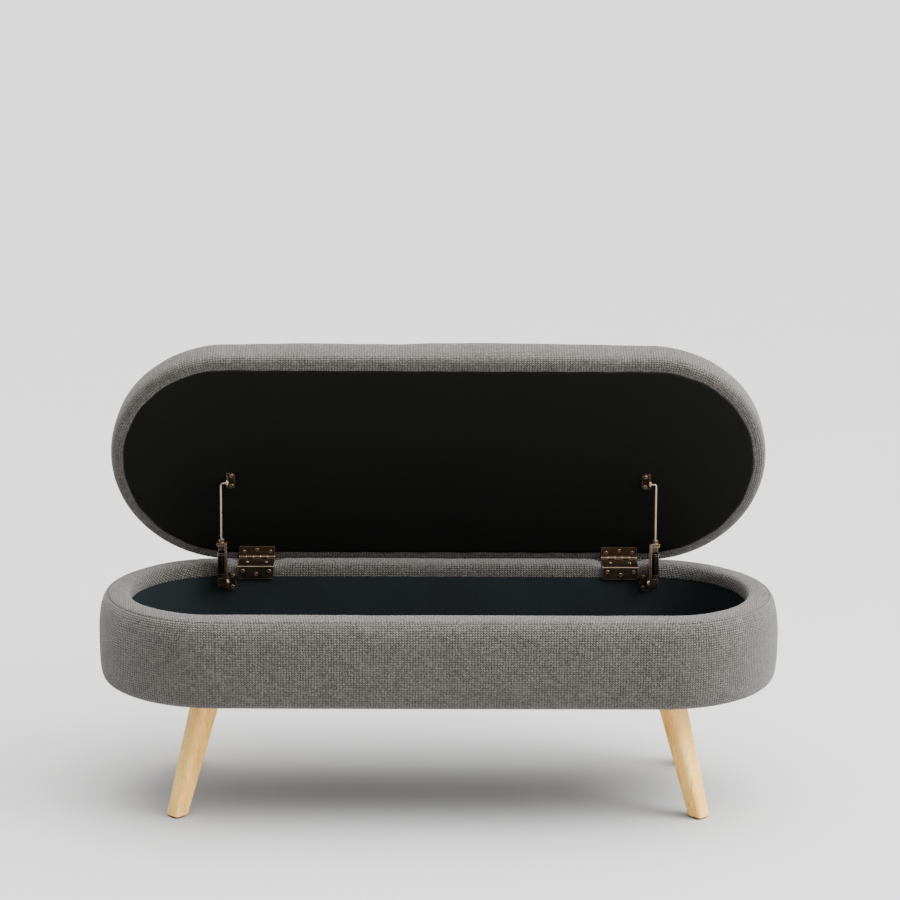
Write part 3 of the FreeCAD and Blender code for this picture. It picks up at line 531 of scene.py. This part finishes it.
def base_side():
    """The side cover over its foam, from the fold under the floor up to the seam on the shoulder."""
    profile = [
        (0.1700, 0.2040), (0.1705, 0.2028), (0.1790, 0.2022), (0.1875, 0.2022), (0.1946, 0.2052),
        (0.1986, 0.2120), (0.2006, 0.2220), (0.2016, 0.2380), (0.2018, 0.2580), (0.2016, 0.2780),
        (0.2010, 0.2960), (0.1996, 0.3110), (0.1970, 0.3235), (0.1936, 0.3322), (0.1898, 0.3378),
        (0.1868, 0.3410), (0.1846, 0.3419), (0.1840, 0.3400), (0.1840, 0.3320), (0.1865, 0.3305),
        (0.1865, 0.2700), (0.1865, 0.2080), (0.1840, 0.2045),
    ]
    piece = sweep("base_side_cover", profile, base_spine, BASE_Y, COVER_FABRIC, False, shape_side, BASE_BOW)
    subdivide(piece)
    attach(piece, "base")
    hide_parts("side_cover", "side_foam")


def base_rim():
    """The rim cover over its foam, from the seam to the turned-down edge inside the box."""
    profile = [
        (0.1836, 0.3320), (0.1837, 0.3400), (0.1832, 0.3422), (0.1810, 0.3438), (0.1750, 0.3452),
        (0.1670, 0.3458), (0.1580, 0.3461), (0.1505, 0.3458), (0.1452, 0.3442), (0.1416, 0.3404),
        (0.1399, 0.3345), (0.1395, 0.3275), (0.1395, 0.3224), (0.1404, 0.3222), (0.1408, 0.3260),
        (0.1412, 0.3303), (0.1600, 0.3303), (0.1800, 0.3303),
    ]
    piece = sweep("base_rim_cover", profile, base_spine, BASE_Y, COVER_FABRIC, True, shape_rim, BASE_BOW)
    subdivide(piece)
    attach(piece, "base")
    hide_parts("rim_cover", "rim_foam")


def lid_border():
    """The lid's border, from the fold under the board round the side to the seam on top."""
    rows = [
        (0.1500, 0.0014), (0.1510, 0.0004), (0.1660, 0.0002), (0.1780, 0.0001), (0.1840, 0.0005),
        (0.1894, 0.0020), (0.1936, 0.0056), (0.1964, 0.0120), (0.1972, 0.0220), (0.1970, 0.0360),
        (0.1960, 0.0480), (0.1936, 0.0580), (0.1892, 0.0660), (0.1836, 0.0710), (0.1780, 0.0736),
        (0.1760, 0.0734), (0.1750, 0.0710), (0.1748, 0.0660), (0.1500, 0.0560), (0.1500, 0.0200),
    ]
    profile = [(radius, LID_BOTTOM + rise) for radius, rise in rows]
    piece = sweep("lid_border_upholstery", profile, lid_spine, LID_Y, COVER_FABRIC, False, shape_lid, LID_BOW)
    open_lid(piece)
    subdivide(piece)
    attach(piece, "lid")
    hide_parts("lid_border_cover", "lid_foam")


def lid_top():
    """The lid's crowned seat panel."""
    rows = [
        (0.1742, 0.0660), (0.1738, 0.0712), (0.1722, 0.0738), (0.1680, 0.0758), (0.1560, 0.0782),
        (0.1300, 0.0808), (0.0950, 0.0826), (0.0550, 0.0836), (0.0200, 0.0840), (0.0, 0.0840),
        (0.0, 0.0560), (0.0800, 0.0560), (0.1500, 0.0560), (0.1720, 0.0610),
    ]
    profile = [(radius, LID_BOTTOM + rise) for radius, rise in rows]
    piece = sweep("lid_top_upholstery", profile, lid_spine, LID_Y, COVER_FABRIC, True, shape_lid, LID_BOW)
    open_lid(piece)
    weld(piece)
    subdivide(piece)
    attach(piece, "lid")
    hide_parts("lid_top_cover")


def lid_lining():
    """The black lining on the lid's underside, its cut edge pulled into small scallops by its staples."""
    edge = LID_LINING_RADIUS

    def shape(point, station, radius):
        if radius < edge - LINING_EDGE_BAND:
            return point
        along = path_length(station, LID_SPINE, edge)
        pulled = 0.0004 * sin(along * tau / STAPLE_PITCH)
        scallop = pulled + 0.0006 * noise.noise(Vector((along * 23, 4.0, 0)))
        outward = Vector((cos(station[1]), sin(station[1]), 0))
        share = (radius - edge + LINING_EDGE_BAND) / LINING_EDGE_BAND
        return point + outward * scallop * share

    profile = [
        (0.0, LID_LINING_FACE), (0.05, LID_LINING_FACE), (0.10, LID_LINING_FACE),
        (0.14, LID_LINING_FACE), (edge - LINING_EDGE_BAND, LID_LINING_FACE), (edge - 0.004, LID_LINING_FACE),
        (edge, LID_LINING_FACE + 0.0002), (edge, LID_BOTTOM), (0.14, LID_BOTTOM), (0.0, LID_BOTTOM),
    ]
    piece = sweep("lid_lining_sheet", profile, lid_spine, LID_Y, LID_LINING_CLOTH, True, shape)
    open_lid(piece)
    weld(piece)
    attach(piece, "lid")
    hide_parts("lid_lining")


def box_lining():
    """The dark lining of the box's wall and floor."""
    inner = OPENING_RADIUS

    def wavy(point, station, radius):
        outward = Vector((cos(station[1]), sin(station[1]), 0))
        height = soft_step(point.z, FLOOR_HIGH.z, FLOOR_HIGH.z + 0.02)
        height *= 1 - soft_step(point.z, RIM_TOP - 0.03, RIM_TOP - 0.015)
        return point + outward * swell(point, 6.6, 0.09, 0.0008) * height

    rows = [FLOOR_HIGH.z, 0.235, 0.255, 0.275, 0.295, 0.31, 0.3225, 0.3300]
    profile = [(inner - BOX_LINING_THICKNESS, z) for z in rows]
    profile += [(inner - 0.0001, z) for z in reversed(rows)]
    wall = sweep("wall_lining_sheet", profile, lambda r: OPENING_SPINE, BASE_Y, BOX_LINING_CLOTH, False, wavy)
    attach(wall, "base")
    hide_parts("wall_lining")
    radii = [0.0, 0.05, 0.10, inner - 0.001]
    profile = [(r, FLOOR_HIGH.z) for r in radii] + [(r, FLOOR_LOW.z) for r in reversed(radii)]
    floor_sheet = sweep(
        "floor_lining_sheet", profile, lambda r: OPENING_SPINE, BASE_Y, BOX_LINING_CLOTH, planar=True
    )
    weld(floor_sheet)
    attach(floor_sheet, "base")
    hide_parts("floor_lining")


def dust_sheet():
    """The black cloth under the base, which sags a little between the leg plates that clamp it."""
    edge = (DUST_HIGH.y - DUST_LOW.y) / 2
    spine = DUST_HIGH.x - edge
    plate_low, plate_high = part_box("leg_plate_front_right")
    plate_x = (plate_low.x + plate_high.x) / 2
    plate_y = abs((plate_low.y + plate_high.y) / 2 - BASE_Y)

    def sagging(point, station, radius):
        if point.z > DUST_LOW.z + 0.0001:
            return point
        from_plate = hypot(abs(point.x) - plate_x, abs(point.y - BASE_Y) - plate_y)
        free = soft_step(from_plate, 0.045, 0.12) * soft_step(edge - radius, 0.0, 0.05)
        return point - Vector((0, 0, free * (DUST_SAG + swell(point, 4.4, 0.12, 0.0016))))

    radii = [0.0, 0.03, 0.06, 0.09, 0.12, 0.145, 0.16, edge]
    profile = [(r, DUST_LOW.z) for r in radii] + [(r, DUST_HIGH.z) for r in reversed(radii)]
    piece = sweep("dust_cover_sheet", profile, lambda r: spine, BASE_Y, DUST_CLOTH, True, sagging)
    weld(piece)
    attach(piece, "base")
    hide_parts("dust_cover")


def dress_cad_nodes():
    """Give every CAD node that stays its material."""
    ply = raw_wood("plywood", (0.62, 0.44, 0.25), (0.42, 0.28, 0.15), 12.0)
    board = raw_wood("board", (0.55, 0.40, 0.25), (0.38, 0.26, 0.15), 40.0)
    foam = matt_cloth("foam", (0.5, 0.45, 0.3), 700.0)
    plastic = moulded_plastic()
    wood = leg_wood()
    by_start = [
        ("leg_plate", ZINC), ("hanger", ZINC), ("lid_lining_staples", BLACK_WIRE), ("foot_glide", plastic),
        ("leg_", wood), ("stay_rod", BRIGHT), ("stay_sleeve", BLACKENED),
        ("stay_", BRONZE), ("hinge_", BRONZE), ("wall_post", ply),
        ("outer_shell", ply), ("inner_shell", ply), ("floor_panel", board), ("rim_board", board),
        ("lid_board", board),
    ]
    for name, node in frame["nodes"].items():
        material = next((m for start, m in by_start if name.startswith(start)), foam)
        node.data.materials.clear()
        node.data.materials.append(material)


# Studio --------------------------------------------------------------------------------------------
def soft_light(name, spot, size, power, colour):
    """Add a rectangular soft light that looks at the bench."""
    data = bpy.data.lights.new(name, "AREA")
    data.shape = "RECTANGLE"
    data.size, data.size_y = size
    data.energy = power
    data.color = colour
    light = bpy.data.objects.new(name, data)
    light.location = spot
    light.rotation_mode = "QUATERNION"
    light.rotation_quaternion = (Vector(LIT_POINT) - Vector(spot)).to_track_quat("-Z", "Y")
    bpy.context.scene.collection.objects.link(light)


def softbox_sky():
    """Return a world that glows most from above, less from the right and faintly from the left."""
    world = bpy.data.worlds.new("studio")
    world.use_nodes = True
    tree = world.node_tree
    direction = tree.nodes.new("ShaderNodeTexCoord").outputs["Generated"]
    total = None
    for toward, power, strength in SKY_LOBES:
        dot = tree.nodes.new("ShaderNodeVectorMath")
        dot.operation = "DOT_PRODUCT"
        dot.inputs[1].default_value = Vector(toward).normalized()
        tree.links.new(direction, dot.inputs[0])
        lit = tree.nodes.new("ShaderNodeMath")
        lit.operation = "MAXIMUM"
        tree.links.new(dot.outputs["Value"], lit.inputs[0])
        lit.inputs[1].default_value = 0.0
        shaped = tree.nodes.new("ShaderNodeMath")
        shaped.operation = "POWER"
        tree.links.new(lit.outputs[0], shaped.inputs[0])
        shaped.inputs[1].default_value = power
        scaled = tree.nodes.new("ShaderNodeMath")
        scaled.operation = "MULTIPLY_ADD"
        tree.links.new(shaped.outputs[0], scaled.inputs[0])
        scaled.inputs[1].default_value = strength
        if total is None:
            scaled.inputs[2].default_value = SKY_BASE
        else:
            tree.links.new(total, scaled.inputs[2])
        total = scaled.outputs[0]
    tree.links.new(total, tree.nodes["Background"].inputs["Strength"])
    tree.nodes["Background"].inputs["Color"].default_value = (1.0, 0.995, 0.985, 1.0)
    return world


def studio():
    """Add the floor, the lights and the camera."""
    mesh = bpy.data.meshes.new("studio_floor")
    half = FLOOR_HALF
    corners = [(-half, -half, 0), (half, -half, 0), (half, half, 0), (-half, half, 0)]
    mesh.from_pydata(corners, [], [(0, 1, 2, 3)])
    mesh.materials.append(pale_floor())
    floor_object = bpy.data.objects.new("studio_floor", mesh)
    bpy.context.scene.collection.objects.link(floor_object)
    floor_object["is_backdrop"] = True
    bpy.context.scene.world = softbox_sky()
    for name, spot, size, power, colour in SOFT_LAMPS:
        soft_light(name, spot, size, power, colour)
    data = bpy.data.cameras.new("camera")
    data.lens = CAMERA_LENS
    data.clip_end = 200.0
    camera = bpy.data.objects.new("camera", data)
    ahead = Vector((
        sin(CAMERA_YAW) * cos(CAMERA_PITCH),
        cos(CAMERA_YAW) * cos(CAMERA_PITCH),
        -sin(CAMERA_PITCH),
    ))
    right = Vector((cos(CAMERA_YAW), -sin(CAMERA_YAW), 0))
    up = right.cross(ahead)
    leaned_right = cos(CAMERA_ROLL) * right + sin(CAMERA_ROLL) * up
    leaned_up = leaned_right.cross(ahead)
    camera.matrix_world = Matrix((
        (leaned_right.x, leaned_up.x, -ahead.x, CAMERA_PLACE.x),
        (leaned_right.y, leaned_up.y, -ahead.y, CAMERA_PLACE.y),
        (leaned_right.z, leaned_up.z, -ahead.z, CAMERA_PLACE.z),
        (0, 0, 0, 1),
    ))
    bpy.context.scene.collection.objects.link(camera)
    bpy.context.scene.camera = camera


studio()
dress_cad_nodes()
base_side()
base_rim()
lid_border()
lid_top()
lid_lining()
box_lining()
dust_sheet()
bpy.context.view_layer.update()
boxes = {"cad": cad_box, "visual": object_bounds()}
{name: [list(corner) for corner in corners] for name, corners in boxes.items()}
